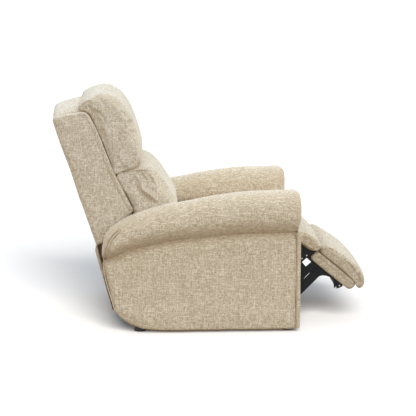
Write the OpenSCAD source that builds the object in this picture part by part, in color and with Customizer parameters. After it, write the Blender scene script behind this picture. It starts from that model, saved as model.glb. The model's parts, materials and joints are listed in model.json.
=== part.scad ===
// Power recliner armchair with rolled pad arms, a two-cushion back and a folding legrest.
// The chair faces -Y and stands on Z = 0. Side outlines are [f, z] points, where f is the
// distance forward of the middle of the arms. X is the width, and both sides are alike.

/* [Overall] */
// Outer width over the arm pads
arm_span = 870; // [850:5:900]
// Clear width between the arms
seat_w = 532; // [528:1:536]
// Distance from the middle of the arms forward to the origin
origin_f = 63; // [55:1:70]

/* [Arms] */
// Front edge of the arms
arm_front_f = 430; // [425:1:435]
// Thickness of the front panel of an arm
arm_front_t = 15; // [12:1:18]
// Outer face of the side panels, from the middle of the chair
side_x = 400; // [396:1:404]
// Height of the lower edge of the side panels
side_bottom_z = 15; // [12:1:18]

/* [Back] */
// Lean of the back from upright, in degrees
back_lean = 18; // [17.5:0.1:18.5]
// Length of the back shell
back_len = 583; // [570:1:590]

/* [Legrest linkage] */
// Length of the drive and guide links
crank_len = 190; // [188:1:192]
// Thickness of the link plates
plate_t = 3; // [2.5:0.1:3.2]
// Radius of the pivot pins
pin_r = 6; // [5:0.5:6]
// Radial clearance of the pivots
pivot_gap = 0.05; // [0.02:0.01:0.09]

/* [Hidden] */
$fn = 40;

fabric = [0.76, 0.71, 0.62];
fabric_light = [0.84, 0.80, 0.73];
steel = [0.16, 0.15, 0.14];
zinc = [0.72, 0.72, 0.70];
timber = [0.72, 0.58, 0.40];
plastic = [0.08, 0.08, 0.08];
felt = [0.45, 0.45, 0.44];

inner_x = seat_w / 2;              // inner face of the arms
panel_t = 14;                      // padded cover panel on a board
arm_inner_x = inner_x + 2;         // inner face of the arms' inner panels
roll_half_w = (arm_span / 2 - inner_x) / 2;
roll_x = arm_span / 2 - roll_half_w;

// Pivots of the legrest linkage, in its half-open rest position
crank_angle = -60;
drive_pivot = [325, 292];
guide_pivot = drive_pivot + [45, 45];
crank = crank_len * [cos(crank_angle), sin(crank_angle)];
drive_end = drive_pivot + crank;
guide_end = guide_pivot + crank;
upper_offset = [-30, 17];          // from the lower link's pivots to the upper link's
upper_start = drive_end + upper_offset;
lower_end = drive_end + [104, 104];
upper_end = lower_end + upper_offset;

// Pivots of the back, and the travel of the seat that goes with them
back_hinge = [-232, 330];
arm_pivot = back_hinge + [31, 95];
arm_pin_r = 6;
arm_slot_drop = [-1.5, -4.6];      // the arm pin's travel in the bracket's slot

// Plates lie in layers, counted outwards from the middle of the chair
layer_pitch = 4;
seat_plate_x = 244;
pin_reach = 7.4;                   // length of a pin through two plates
hinge_pin_r = 8;                   // radius of the back's and the drive tube's pins
hinge_cap_r = 12;
function layer_x(k) = seat_plate_x + layer_pitch * k;
cap_t = 2.5;
cap_r = 11;

// Drive of the legrest
rail_z = 232;
rail_half = 12;
carriage_f = 331;
slide_gap = 0.3;
lever_tilt = 5;
lever_x = 20;

// The back's own outline runs s along its rear face and t forward of it
back_foot = [-435, 363];
function back_pt(s, t) = back_foot + s * [-sin(back_lean), cos(back_lean)]
                         + t * [cos(back_lean), sin(back_lean)];
function back_pts(list) = [for (p = list) back_pt(p[0], p[1])];

// ---- shared geometry ----

function yz(p) = [origin_f - p[0], p[1]];
function yz_all(pts) = [for (p = pts) yz(p)];
function unit(v) = v / norm(v);

// A closed outline with each corner rounded to radius r by an arc of steps + 1 points
function corner_arc(a, b, c, r, steps) =
  let (u = unit(a - b), v = unit(c - b), half = acos(u * v) / 2,
       centre = b + unit(u + v) * r / sin(half),
       from = b + u * r / tan(half) - centre, to = b + v * r / tan(half) - centre,
       start = atan2(from[1], from[0]), turn = atan2(to[1], to[0]) - start,
       sweep = turn > 180 ? turn - 360 : turn < -180 ? turn + 360 : turn)
  [for (i = [0:steps]) centre + r * [cos(start + sweep * i / steps), sin(start + sweep * i / steps)]];
function rounded(pts, r, steps = 5) =
  let (n = len(pts))
  [for (i = [0:n - 1]) each corner_arc(pts[(i + n - 1) % n], pts[i], pts[(i + 1) % n], r, steps)];

// Extrudes a drawn [f, z] outline from x along +X by w
module across(x, w) translate([x, 0, 0]) rotate([90, 0, 90]) linear_extrude(w) children();
module slab(x, w, pts) across(x, w) polygon(yz_all(pts));
module axle(p, x, w, r) across(x, w) translate(yz(p)) circle(r);
module both_sides() {
  children();
  mirror([1, 0, 0]) children();
}
// A flat link with round ends, and the same outline wider at the joint
module bar(p, q, half) {
  along = unit(q - p);
  side = half * [-along[1], along[0]];
  for (c = [p, q]) translate(yz(c)) circle(half);
  polygon(yz_all([p + side, q + side, q - side, p - side]));
}
module hole(p, r) translate(yz(p)) circle(r);
// A pin from plate face x outward by w, with a cap at its far end
module capped_pin(p, x, w, r = pin_r) {
  axle(p, x, w, r);
  axle(p, x + w, cap_t, cap_r);
}
// The same, pointing to the middle of the chair
module inward_pin(p, x, w) {
  axle(p, x - w, w, pin_r);
  axle(p, x - w - cap_t, cap_t, cap_r);
}

// A solid skinned over rings of points, all rings alike in count and direction
module skin(rings) {
  n = len(rings[0]);
  m = len(rings);
  walls = [for (k = [0:m - 2]) for (i = [0:n - 1]) each
    let (a = k * n + i, b = k * n + (i + 1) % n) [[a, b, b + n], [a, b + n, a + n]]];
  ends = [[for (i = [n - 1:-1:0]) i], [for (i = [0:n - 1]) (m - 1) * n + i]];
  polyhedron([for (ring = rings) each ring], concat(walls, ends));
}

// ---- arms ----

// Stations along an arm pad: [f, top, bottom]
roll_stations = [
  [434, 566, 462], [429, 590, 442], [414, 604, 434], [395, 610, 432], [230, 608, 431], [60, 588, 420],
  [-55, 566, 409], [-170, 543, 396], [-270, 513, 372], [-345, 473, 350], [-385, 441, 336],
  [-405, 412, 328], [-413, 385, 322]
];
roll_sides = 24;
function roll_ring(s) =
  let (end = s[0] > 420 ? 1 - pow((s[0] - 420) / 30, 2) : 1, mid = (s[1] + s[2]) / 2,
       half = (s[1] - s[2]) / 2)
  [for (i = [0:roll_sides - 1]) let (a = 360 * i / roll_sides)
    [roll_x + roll_half_w * end * cos(a), origin_f - s[0], mid + half * sin(a)]];
module arm_roll() skin([for (s = roll_stations) roll_ring(s)]);

// Side outline of an arm below its pad
arm_back_f = -408;
arm_outline = concat(
  [[arm_front_f - arm_front_t, side_bottom_z], [arm_front_f - arm_front_t, 436], [230, 434], [60, 423],
   [-114, 403], [-226, 384], [-345, 352], [arm_back_f, 324], [arm_back_f + 2, 300], [-364, 101]],
  [for (a = [20:20:80]) [-352 + 172 * (1 - cos(a)), 101 - 86 * sin(a)]],
  [[-172, side_bottom_z]]);

module side_panel() color(fabric) slab(side_x - panel_t, panel_t, arm_outline);
module side_panel_right() mirror([1, 0, 0]) side_panel();
module side_panel_left() side_panel();

front_panel_h = 416;
module arm_front() color(fabric)
  translate([arm_inner_x, origin_f - arm_front_f, side_bottom_z])
    cube([side_x - arm_inner_x, arm_front_t, front_panel_h]);
module arm_front_left() arm_front();
module arm_front_right() mirror([1, 0, 0]) arm_front();

bolt_spots = [[-235, 150], [-60, 110], [60, 110], [140, 150]];
bolt_r = 4;
module arm_inner_panels() color(fabric) both_sides() across(arm_inner_x, panel_t) difference() {
  polygon(yz_all(arm_outline));
  for (p = bolt_spots) hole(p, bolt_r);
}

// Cover over the sloping rear edge of each arm, between its two side panels
module arm_rear_panels() color(fabric) both_sides()
  slab(arm_inner_x + panel_t, side_x - arm_inner_x - 2 * panel_t,
       [[arm_back_f, 322], [arm_back_f + 2, 300], [-364, 101], [-354, 103], [-397, 302], [-396, 327]]);

post_x = arm_inner_x + panel_t;
post_w = side_x - arm_inner_x - 2 * panel_t;
module arm_posts() color(timber) both_sides() {
  slab(post_x, post_w, [[383, 24], [413, 24], [413, 428], [383, 430]]);
  slab(post_x, post_w, [[-330, 66], [-300, 58], [-352, 346], [-382, 332]]);
}
module arm_rails() color(timber) both_sides() {
  slab(post_x, post_w, [[-290, 44], [382, 24], [382, 64], [-297, 84]]);
  slab(post_x, post_w, [[-343, 322], [-226, 355], [-114, 374], [60, 394], [230, 404], [382, 404],
                        [382, 427], [230, 427], [60, 416], [-114, 396], [-226, 376], [-345, 340]]);
}

roll_pocket = [14, 64, 38];
pocket_at = [-arm_span / 2 + 2 * roll_half_w - 6, origin_f - 372, 503];
module arm_roll_left() color(fabric) arm_roll();
module arm_roll_right() color(fabric) difference() {
  mirror([1, 0, 0]) arm_roll();
  translate([-inner_x - plate_depth, pocket_at[1], pocket_at[2]]) cube(roll_pocket);
}

// Switch plate in the inner side of the right arm pad, with its two push buttons
plate_depth = 10;
button = [7, 20, 24];
button_gap = 0.4;
button_y = [8, 36];
button_z = 7;
module button_at(i)
  translate([-inner_x - 5, pocket_at[1] + button_y[i], pocket_at[2] + button_z]) cube(button);
module switch_bezel() color(plastic) difference() {
  translate([-inner_x - plate_depth, pocket_at[1], pocket_at[2]])
    cube([plate_depth, roll_pocket[1], roll_pocket[2]]);
  for (i = [0, 1])
    translate([-inner_x - plate_depth + 2, pocket_at[1] + button_y[i] - button_gap,
               pocket_at[2] + button_z - button_gap])
      cube([plate_depth - 1, button[1] + 2 * button_gap, button[2] + 2 * button_gap]);
}
module recline_button() color(zinc) button_at(0);
module return_button() color(zinc) button_at(1);

// ---- base ----

// Each side plate carries the seat's track, and an ear with the pin that the back swings on
base_plate_x = inner_x - 3;
track_z = [196, 236];
track_lip = 12;
track_from = -255;
track_to = 168;
track_t = 4;
module base_side_plates() color(steel) both_sides() {
  across(base_plate_x, 3) difference() {
    union() {
      polygon(yz_all([[-255, 40], [380, 24], [380, 60], [200, 75], [168, 200], [168, 240], [-255, 240]]));
      bar([arm_pivot[0], 230], arm_pivot, 20);
    }
    for (p = bolt_spots) hole(p, bolt_r);
    hole(arm_pivot, arm_pin_r);
  }
}
module arm_bolts() color(zinc) both_sides() for (p = bolt_spots) {
  axle(p, base_plate_x, 26, bolt_r);
  axle(p, base_plate_x - 3, 3, 8);
}
module glide_tracks() color(zinc) both_sides() {
  for (z = track_z)
    translate([base_plate_x - track_lip, origin_f - track_to, z])
      cube([track_lip, track_to - track_from, track_t]);
}
cross_tube = 25;
tube_wall = 2;
module base_cross_tubes() color(steel) for (at = [[330, 28], [-245, 62]])
  translate([-base_plate_x, origin_f - at[0] - cross_tube, at[1]])
    difference() {
      cube([2 * base_plate_x, cross_tube, cross_tube]);
      translate([-1, tube_wall, tube_wall])
        cube([2 * base_plate_x + 2, cross_tube - 2 * tube_wall, cross_tube - 2 * tube_wall]);
    }
glide_spots = [[386, 23.5], [-254, 41.5]];
glide_x = 330;
glide_neck = 8;
module floor_glides() color(plastic) both_sides() for (g = glide_spots)
  translate([glide_x, origin_f - g[0], 0]) {
    cylinder(h = g[1] - glide_neck, r1 = 25, r2 = 22);
    cylinder(h = g[1], r = 18);
  }
arm_pin_x = seat_plate_x - 7;
module back_pivot_pins() color(steel) both_sides()
  axle(arm_pivot, arm_pin_x, inner_x - arm_pin_x, arm_pin_r);

// Recline drive: a tube motor on the rear cross tube pushes a rod fixed to the seat
ram_x = 70;
ram_z = 120;
ram_r = 14;
rod_r = 8;
module recline_motor() color(steel) translate([ram_x, origin_f, ram_z]) rotate([90, 0, 0]) difference() {
  union() {
    translate([0, 0, -235]) cylinder(h = 200, r = ram_r);
    translate([-30, -33, -244]) cube([60, 66, 60]);
  }
  translate([0, 0, -150]) cylinder(h = 130, r = rod_r + pivot_gap);
}
module recline_rod() color(zinc) {
  translate([ram_x, origin_f, ram_z]) rotate([90, 0, 0]) translate([0, 0, -140]) cylinder(h = 156, r = rod_r);
  translate([ram_x - 20, origin_f - 25, ram_z - 12]) cube([40, 10, 231]);
}
module power_inlet() color(plastic) translate([-60, origin_f + 245, 74.5]) rotate([-90, 0, 0]) difference() {
  cylinder(h = 24, r = 9);
  translate([0, 0, 4]) cylinder(h = 30, r = 5);
}
// Cloth flap that closes the rear of the base under the back
module back_flap() color(fabric) slab(-248, 496,
  [[-446, 350], [-438, 352], [-404, 222], [-367, 70], [-374, 70], [-412, 222]]);

// ---- seat ----

plate_top = 344;
roller_f = [-185, 85];
roller_z = 218;
roller_r = 15.9;
module seat_plate_outline() {
  polygon(yz_all([[-252, 306], [-205, 300], [345, 300], [395, 320], [395, plate_top], [-252, plate_top]]));
  for (f = roller_f) polygon(yz_all([[f - 20, 206], [f + 20, 206], [f + 34, 310], [f - 34, 310]]));
  translate(yz(drive_pivot)) circle(24);
}
module seat_plates() color(steel) both_sides() across(layer_x(0), plate_t) difference() {
  seat_plate_outline();
  hole(drive_pivot, hinge_pin_r + pivot_gap);
  hole(guide_pivot, pin_r);
  hole(back_hinge, hinge_pin_r + pivot_gap);
  for (f = roller_f) hole([f, roller_z], pin_r);
}
module seat_rollers() color(plastic) both_sides() for (f = roller_f) difference() {
  axle([f, roller_z], 252, 8, roller_r);
  axle([f, roller_z], 251, 10, pin_r);
}
module seat_pins() color(steel) both_sides() {
  capped_pin(guide_pivot, layer_x(0), pin_reach);
  for (f = roller_f) axle([f, roller_z], layer_x(0), 15.5, pin_r);
}
rail_x = 205;
rail_w = 25;
module seat_rails() color(steel) both_sides()
  slab(rail_x, rail_w, [[-190, 312], [384, 312], [384, 342], [-190, 342]]);
spacer_d = 25;
spacer_w = seat_plate_x - rail_x - rail_w;
// Spacer tubes join each rail to its side plate and the two rails to each other
module seat_cross_tubes() color(steel) {
  for (f = [-180, -10, 130]) {
    both_sides() translate([rail_x + rail_w, origin_f - f - spacer_d, 315]) cube([spacer_w, spacer_d, 24]);
    translate([-rail_x, origin_f - f - spacer_d, 315]) cube([2 * rail_x, spacer_d, 24]);
  }
  both_sides() translate([rail_x + rail_w, origin_f - 350, 318]) cube([spacer_w, 12, 22]);
}
module seat_front_rail() color(timber) slab(-236, 472, [[385, 300], [400, 300], [400, 350], [385, 350]]);
strap_pitch = 76;
strap_w = 50;
module seat_webbing() color(felt) for (i = [0:6])
  translate([-(rail_x + rail_w), origin_f - 370 + strap_pitch * i, 342])
    cube([2 * (rail_x + rail_w), strap_w, 3]);
module seat_deck() color(felt)
  translate([-232, origin_f - 384, 345]) cube([464, 570, 8]);

cushion_gap = 6;
cushion_x = inner_x - cushion_gap;
seat_profile = rounded([[-176, 354], [402, 354], [402, 430], [375, 456], [150, 462], [-176, 444]], 20);
module seat_cushion() color(fabric_light) {
  slab(-cushion_x, 2 * cushion_x, seat_profile);
  slab(-228, 456, rounded([[-222, 354], [-120, 354], [-120, 442], [-222, 440]], 12));
}

// Legrest drive: a rail under the seat carries a sliding block with a cross pin
module drive_rail() color(zinc)
  translate([-rail_half, origin_f - 385, rail_z - rail_half]) cube([2 * rail_half, 455, 2 * rail_half]);
module legrest_motor() color(steel) {
  translate([-34, origin_f + 70, rail_z - 30]) cube([68, 90, 60]);
  translate([0, origin_f + 115, rail_z - 30]) rotate([180, 0, 0]) cylinder(h = 70, r = 26);
  for (x = [-34, 24]) translate([x, origin_f + 120, rail_z + 30]) cube([10, 30, 53]);
}
module drive_carriage() color(plastic) difference() {
  union() {
    translate([-19, origin_f - carriage_f - 10, rail_z - 18]) cube([38, 58, 36]);
    axle([carriage_f, rail_z], -27, 54, 5);
  }
  translate([-rail_half - slide_gap, origin_f - carriage_f - 20, rail_z - rail_half - slide_gap])
    cube([2 * (rail_half + slide_gap), 90, 2 * (rail_half + slide_gap)]);
}

// ---- legrest linkage ----

module drive_links() color(steel) both_sides() across(layer_x(-1), plate_t) difference() {
  union() {
    bar(drive_pivot, drive_end, 15);
    bar(drive_end, upper_start, 14);
    translate(yz(drive_pivot)) circle(20);
  }
  hole(drive_end, pin_r);
  hole(upper_start, pin_r);
}
tube_r = 13;
tube_end = 4.5;                    // the reduced end, through the seat plate
module torque_tube() color(steel) {
  axle(drive_pivot, -layer_x(-1), 2 * layer_x(-1), tube_r);
  both_sides() {
    axle(drive_pivot, layer_x(-1) + plate_t, tube_end, hinge_pin_r);
    axle(drive_pivot, layer_x(-1) + plate_t + tube_end, cap_t, hinge_cap_r);
  }
}
function lever_pt(r) = drive_pivot + r * [sin(lever_tilt), -cos(lever_tilt)];
module drive_levers() color(steel) both_sides() across(lever_x, 5) difference() {
  bar(lever_pt(0), lever_pt(84), 20);
  hole(drive_pivot, tube_r);
  bar(lever_pt(56), lever_pt(86), 9.5);
}
module drive_pins() color(steel) both_sides() {
  capped_pin(drive_end, layer_x(-1), pin_reach);
  inward_pin(upper_start, layer_x(-1) + plate_t, pin_reach);
}
module guide_links() color(steel) both_sides() across(layer_x(1), plate_t) difference() {
  bar(guide_pivot, guide_end, 15);
  hole(guide_pivot, pin_r + pivot_gap);
  hole(guide_end, pin_r + pivot_gap);
}
module lower_links() color(steel) both_sides() across(layer_x(0), plate_t) difference() {
  bar(drive_end, lower_end, 20);
  hole(drive_end, pin_r + pivot_gap);
  hole(guide_end, pin_r);
  hole(lower_end, pin_r + pivot_gap);
}
module lower_link_pins() color(steel) both_sides() {
  capped_pin(guide_end, layer_x(0), pin_reach);
  for (p = [guide_end + [-18, 7], guide_end + [2, -22]]) axle(p, layer_x(0) + plate_t, 0.9, 4);
}
module upper_links() color(steel) both_sides() across(layer_x(-2), plate_t) difference() {
  union() {
    bar(upper_start, upper_end, 13);
    polygon(yz_all([upper_start + [-6, 8], [418, 256], [438, 276], [457, 274], [477, 249], upper_end]));
  }
  hole(upper_start, pin_r + pivot_gap);
  hole(upper_end, pin_r + pivot_gap);
}

// ---- footrest ----

// Curved plate under the board: an arm up to the knee pad and a tail down to the brace
tail_end = [612, 170];
arch = [for (a = [150:-15:45]) [548, 148] + 66 * [cos(a), sin(a)]];
module footrest_bracket_outline() {
  polygon(yz_all(concat(
    [[447, 352], [434, 344], [438, 300], [453, 272], [476, 293], [496, 275], [472, 254], [478, 242],
     [500, 212], [530, 210]],
    [for (p = arch) if (p[0] > 532) p],
    [[598, 158], [620, 156], [646, 170], [600, 208], [556, 242], [509, 277], [495, 291], [494, 300],
     [512, 320], [508, 328], [470, 345]])));
  translate(yz(tail_end)) circle(15);
  translate(yz(lower_end)) circle(19);
}
module footrest_brackets() color(steel) both_sides() across(layer_x(-1), plate_t) difference() {
  footrest_bracket_outline();
  hole(lower_end, pin_r);
  hole(upper_end, pin_r);
}
module footrest_brace() color(steel) axle(tail_end, -layer_x(-1), 2 * layer_x(-1), 11);
module footrest_pins() color(steel) both_sides() {
  capped_pin(lower_end, layer_x(-1), pin_reach);
  inward_pin(upper_end, layer_x(-1) + plate_t, pin_reach);
  for (p = [tail_end, tail_end + [20, 2]]) axle(p, layer_x(-1) + plate_t, 2, 4.5);
}
pad_x = inner_x - 8;
board = rounded([[497, 297], [673, 152], [696, 179], [520, 321]], 15);
module footrest_board() color(fabric) slab(-pad_x, 2 * pad_x, board);
pad_profile = rounded([[536, 325], [694, 187], [703, 160], [724, 166], [747, 196], [717, 262],
                       [665, 322], [610, 356], [552, 368]], 12);
module footrest_pad() color(fabric_light) slab(-pad_x, 2 * pad_x, pad_profile);
knee_hinge = lower_end - crank;
knee_profile = concat(
  [for (a = [100:20:260]) knee_hinge + 24 * [cos(a), sin(a)]],
  rounded([[470, 348], [526, 325], [540, 340], [532, 364], [486, 404], [450, 416]], 8));
module knee_pad() color(fabric_light) slab(-pad_x, 2 * pad_x, knee_profile);

// ---- back ----

stile_x = 213;
stile_w = layer_x(-1) - 1 - stile_x;
module back_brackets() color(steel) both_sides() across(layer_x(-1) - 1, plate_t) difference() {
  union() {
    bar(back_hinge, arm_pivot, 20);
    bar(arm_pivot, back_pt(70, 110), 18);
    bar(back_hinge, back_pt(20, 110), 18);
  }
  hole(back_hinge, hinge_pin_r);
  bar(arm_pivot, arm_pivot + arm_slot_drop, arm_pin_r + 0.6);
}
module back_pins() color(steel) both_sides() {
  axle(back_hinge, layer_x(-1) - 1, 9, hinge_pin_r);
  axle(back_hinge, layer_x(-1) + 8, cap_t, hinge_cap_r);
}
module back_stiles() color(timber) both_sides()
  slab(stile_x, stile_w, back_pts([[0, 92], [555, 62], [555, 112], [0, 142]]));
module back_rails() color(timber) for (s = [10, 270, 520])
  slab(-stile_x, 2 * stile_x, back_pts([[s, 95], [s + 35, 93], [s + 35, 115], [s, 117]]));
module back_webbing() color(felt) for (s = [80:70:430])
  slab(-stile_x - stile_w, 2 * (stile_x + stile_w),
       back_pts([[s, 143.2 - s * 0.054], [s + 45, 140.8 - s * 0.054], [s + 45, 143.8 - s * 0.054],
                 [s, 146.2 - s * 0.054]]));
module back_outer_panel() color(fabric)
  slab(-242, 484, back_pts([[-4, 0], [back_len - 6, 0], [back_len - 6, 10], [-4, 10]]));
module back_top_panel() color(fabric)
  slab(-242, 484, back_pts([[558, 11], [581, 11], [567, 132], [558, 132]]));

// Padded side of the back, a little wider at the top than between the arms
wing_in = 243;
wing_low_x = 261;
wing_top_x = 284;
wing_side = [[0, 1], [back_len - 5, 1], [back_len, 6], [568, 134], [545, 148], [467, 160], [290, 168],
             [95, 198], [84, 186], [20, 44], [0, 30]];
function wing_pt(p, x) = let (q = yz(back_pt(p[0], p[1]))) [x, q[0], q[1]];
function wing_out(s) = wing_low_x + (wing_top_x - wing_low_x) * pow(max(0, s - 90) / (back_len - 90), 0.8);
module back_wing() skin([
  [for (p = wing_side) wing_pt(p, wing_in)],
  [for (p = wing_side) wing_pt(p, wing_out(p[0]))]]);
module back_wing_left() color(fabric) back_wing();
module back_wing_right() color(fabric) mirror([1, 0, 0]) back_wing();

// The cushions are wider in front of the wings than between them
pillow_x = 240;
pillow_front_x = 256;
head_profile = rounded(back_pts([[262, 175], [262, 290], [310, 313], [480, 315], [560, 300], [628, 240],
                                 [628, 190], [592, 112], [584, 136], [500, 152], [300, 165]]), 5, 3);
head_front = rounded(back_pts([[262, 175], [262, 290], [310, 313], [480, 315], [560, 300], [604, 262],
                               [560, 180]]), 5, 3);
module head_pillow() color(fabric_light) {
  slab(-pillow_x, 2 * pillow_x, head_profile);
  slab(-pillow_front_x, 2 * pillow_front_x, head_front);
}
lumbar_profile = rounded([[-290, 478], [-236, 468], [-100, 466], [-82, 500], [-98, 552], [-158, 648],
                          [-206, 709], [-290, 681], [-334, 666], [-336, 640], [-280, 540]], 5, 3);
lumbar_front = rounded([[-236, 468], [-100, 466], [-82, 500], [-98, 552], [-158, 648], [-206, 709],
                        [-290, 681], [-322, 669], [-252, 524]], 5, 3);
module lumbar_cushion() color(fabric_light) {
  slab(-pillow_x, 2 * pillow_x, lumbar_profile);
  slab(-pillow_front_x, 2 * pillow_front_x, lumbar_front);
}

base_side_plates();
base_cross_tubes();
glide_tracks();
floor_glides();
arm_posts();
arm_rails();
arm_inner_panels();
arm_bolts();
side_panel_left();
side_panel_right();
arm_front_left();
arm_front_right();
arm_rear_panels();
arm_roll_left();
arm_roll_right();
back_pivot_pins();
recline_motor();
power_inlet();
switch_bezel();
back_flap();
recline_button();
return_button();
seat_plates();
seat_rails();
seat_cross_tubes();
seat_rollers();
seat_pins();
seat_webbing();
seat_deck();
seat_cushion();
seat_front_rail();
recline_rod();
legrest_motor();
drive_rail();
drive_carriage();
back_brackets();
back_pins();
back_stiles();
back_rails();
back_webbing();
back_outer_panel();
back_top_panel();
back_wing_left();
back_wing_right();
head_pillow();
lumbar_cushion();
drive_links();
torque_tube();
drive_levers();
drive_pins();
guide_links();
lower_links();
lower_link_pins();
upper_links();
footrest_brackets();
footrest_brace();
footrest_pins();
footrest_board();
footrest_pad();
knee_pad();
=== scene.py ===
import json
import math

import bmesh
import bpy
import numpy as np
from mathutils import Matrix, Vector
from mathutils.bvhtree import BVHTree


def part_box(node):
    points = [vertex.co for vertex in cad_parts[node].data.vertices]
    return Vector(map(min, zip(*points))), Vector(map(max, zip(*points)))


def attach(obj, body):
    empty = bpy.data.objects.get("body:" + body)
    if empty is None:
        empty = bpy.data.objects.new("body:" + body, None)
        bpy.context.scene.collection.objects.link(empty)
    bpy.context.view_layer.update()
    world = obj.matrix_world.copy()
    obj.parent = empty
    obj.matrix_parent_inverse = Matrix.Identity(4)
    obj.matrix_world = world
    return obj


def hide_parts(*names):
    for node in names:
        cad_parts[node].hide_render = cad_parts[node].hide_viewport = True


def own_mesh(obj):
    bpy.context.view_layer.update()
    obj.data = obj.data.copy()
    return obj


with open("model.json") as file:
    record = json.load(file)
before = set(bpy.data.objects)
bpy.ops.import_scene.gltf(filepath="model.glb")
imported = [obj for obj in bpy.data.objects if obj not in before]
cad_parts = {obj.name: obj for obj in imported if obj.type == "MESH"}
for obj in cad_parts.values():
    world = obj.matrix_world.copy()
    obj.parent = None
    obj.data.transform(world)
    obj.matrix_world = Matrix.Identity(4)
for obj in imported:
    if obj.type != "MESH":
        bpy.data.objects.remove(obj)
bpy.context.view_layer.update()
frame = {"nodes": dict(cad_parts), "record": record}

# ---- the chair's own coordinates -------------------------------------------
# Side outlines are (f, z) in mm: f forward of the arms' middle, z up. x is the width.
ARM_FRONT_F = 430
Y_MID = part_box("arm_front_left")[0][1] + ARM_FRONT_F / 1000
BACK_LEAN = math.radians(18)
BACK_FOOT = (-435, 363)
INNER_X = 266
SIDE_X = 400
ROLL_X = 350.5
ROLL_HALF = 84.5


def P(x, f, z):
    return Vector((x / 1000, Y_MID - f / 1000, z / 1000))


def back(s, t):
    """A point of the leaning back: s along its rear face, t forward of it."""
    u, w = math.sin(BACK_LEAN), math.cos(BACK_LEAN)
    return (BACK_FOOT[0] - s * u + t * w, BACK_FOOT[1] + s * w + t * u)


def on_back(f, z):
    """The (s, t) of points given by their (f, z): the reverse of back()."""
    u, w = math.sin(BACK_LEAN), math.cos(BACK_LEAN)
    f, z = f - BACK_FOOT[0], z - BACK_FOOT[1]
    return -f * u + z * w, f * w + z * u


def side(x, pts):
    return [P(x, f, z) for f, z in pts]


def back_points(pts):
    return [back(s, t) for s, t in pts]


def outward(x):
    """The way to look at the side face at x from outside."""
    return (math.copysign(1, -x), 0, 0)


# ---- mesh helpers ------------------------------------------------------------
def add_object(name, data):
    ob = bpy.data.objects.new(name, data)
    bpy.context.collection.objects.link(ob)
    return ob


def mesh(name, verts, faces):
    me = bpy.data.meshes.new(name)
    me.from_pydata([tuple(v) for v in verts], [], faces)
    me.update()
    return add_object(name, me)


def fix_normals(ob):
    bm = bmesh.new()
    bm.from_mesh(ob.data)
    bmesh.ops.remove_doubles(bm, verts=bm.verts, dist=1e-5)
    bmesh.ops.recalc_face_normals(bm, faces=bm.faces)
    bm.to_mesh(ob.data)
    bm.free()
    return ob


def smooth_shade(ob):
    ob.data.polygons.foreach_set("use_smooth", [True] * len(ob.data.polygons))
    return ob


def coords(ob):
    co = np.empty(len(ob.data.vertices) * 3)
    ob.data.vertices.foreach_get("co", co)
    return co.reshape(-1, 3)


def normals(ob):
    no = np.empty(len(ob.data.vertices) * 3)
    ob.data.vertices.foreach_get("normal", no)
    return no.reshape(-1, 3)


def put(ob, co):
    ob.data.vertices.foreach_set("co", co.ravel())
    ob.data.update()
    return ob


def bake(ob):
    """Applies every modifier."""
    bpy.context.view_layer.update()
    deps = bpy.context.evaluated_depsgraph_get()
    made = bpy.data.meshes.new_from_object(ob.evaluated_get(deps))
    old = ob.data
    ob.modifiers.clear()
    ob.data = made
    bpy.data.meshes.remove(old)
    return ob


def remesh(ob, voxel):
    m = ob.modifiers.new("voxels", "REMESH")
    m.mode = "VOXEL"
    m.voxel_size = voxel / 1000
    m.use_smooth_shade = True
    return bake(ob)


def relax(ob, rounds, factor=0.5):
    m = ob.modifiers.new("relax", "SMOOTH")
    m.iterations = rounds
    m.factor = factor
    return bake(ob)


def subdivide(ob, levels=1):
    m = ob.modifiers.new("finer", "SUBSURF")
    m.levels = m.render_levels = levels
    return bake(ob)


def join(ob, others):
    bm = bmesh.new()
    bm.from_mesh(ob.data)
    for o in others:
        bm.from_mesh(o.data)
        data = o.data
        bpy.data.objects.remove(o)
        bpy.data.meshes.remove(data)
    bm.to_mesh(ob.data)
    bm.free()
    return smooth_shade(ob)


def mirrored(ob, name):
    """The same piece on the chair's other side."""
    me = ob.data.copy()
    other = add_object(name, me)
    co = coords(other)
    co[:, 0] *= -1
    put(other, co)
    me.flip_normals()
    return other


def spline(knots, values, q):
    """A smooth curve through the values."""
    k, v = np.array(knots, float), np.array(values, float)
    slope = np.gradient(v, k)
    q = np.clip(np.array(q, float), k[0], k[-1])
    i = np.clip(np.searchsorted(k, q, side="right") - 1, 0, len(k) - 2)
    h = k[i + 1] - k[i]
    t = (q - k[i]) / h
    a, b = v[i], v[i + 1]
    return (
        (2 * t**3 - 3 * t**2 + 1) * a
        + (t**3 - 2 * t**2 + t) * h * slope[i]
        + (-2 * t**3 + 3 * t**2) * b
        + (t**3 - t**2) * h * slope[i + 1]
    )


def smooth_line(pts, step=4.0):
    """The points of a smooth curve through pts, about step mm apart."""
    p = np.array(pts, float)
    d = np.r_[0, np.cumsum(np.linalg.norm(np.diff(p, axis=0), axis=1))]
    unit = 1000 if d[-1] < 20 else 1
    q = np.linspace(0, d[-1], max(3, int(d[-1] * unit / step)))
    return np.stack([spline(d, p[:, k], q) for k in range(p.shape[1])], axis=1)


def rounded(pts, r, steps=4):
    """A closed outline with its corners rounded to about radius r."""
    out = []
    n = len(pts)
    radii = r if isinstance(r, (list, tuple)) else [r] * n
    for i in range(n):
        a, b, c = (np.array(pts[(i + k) % n], float) for k in (-1, 0, 1))
        la, lc = np.linalg.norm(a - b), np.linalg.norm(c - b)
        cut = min(radii[i], la * 0.45, lc * 0.45)
        p, q = b + (a - b) / la * cut, b + (c - b) / lc * cut
        for k in range(steps + 1):
            t = k / steps
            out.append(tuple((1 - t) ** 2 * p + 2 * t * (1 - t) * b + t * t * q))
    return out


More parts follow.
